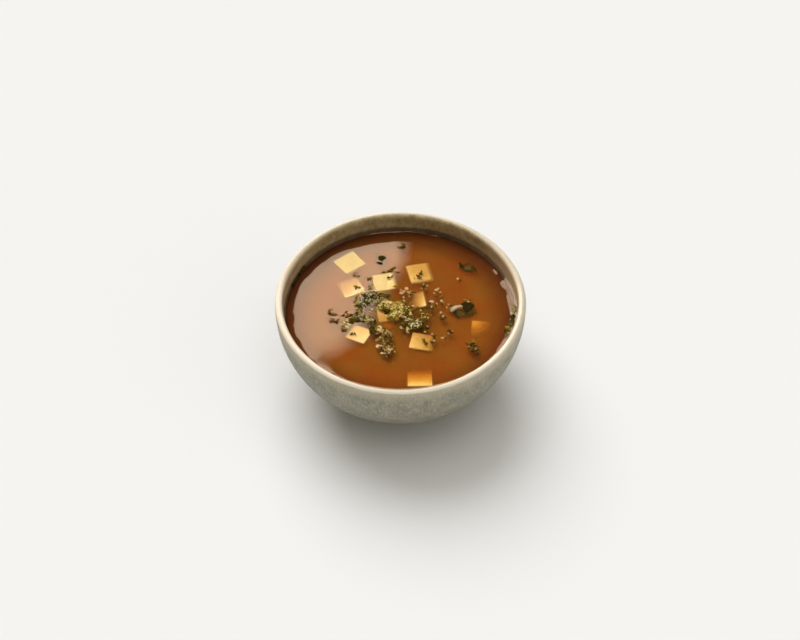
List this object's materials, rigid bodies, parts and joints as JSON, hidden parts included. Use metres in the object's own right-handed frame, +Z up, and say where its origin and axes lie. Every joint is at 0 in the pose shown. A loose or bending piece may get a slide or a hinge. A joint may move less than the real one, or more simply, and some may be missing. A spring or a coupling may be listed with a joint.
{
  "type": "miso soup in a bowl",
  "caption": "Miso soup with floating tofu cubes, a seaweed leaf and chopped herbs, in a round footed stoneware bowl with a speckled glaze.",
  "frame": {"origin": "middle of the foot ring's bottom, on the surface that the bowl stands on", "axes": "+Z up along the bowl's axis, -Y towards the eater, +X to the eater's right"},
  "size_m": [0.124, 0.124, 0.06],
  "materials": {
    "bowl_glaze": "satin speckled stoneware glaze, thinner and paler on the lip",
    "broth": "cloudy amber broth with a wet, mirror-smooth surface",
    "tofu": "soft pale curd, moist, stained by the broth",
    "seaweed": "wet dark green leaf",
    "herbs": "moist chopped green herb flakes"
  },
  "bodies": {
    "root": {"bowl": "bowl_glaze", "broth": "broth", "tofu_far_left": "tofu", "tofu_left": "tofu", "tofu_mid_left": "tofu", "tofu_far_right": "tofu", "tofu_middle": "tofu", "tofu_centre": "tofu", "tofu_near_left": "tofu", "tofu_near_right": "tofu", "wakame_leaf": "seaweed"}
  },
  "joints": []
}
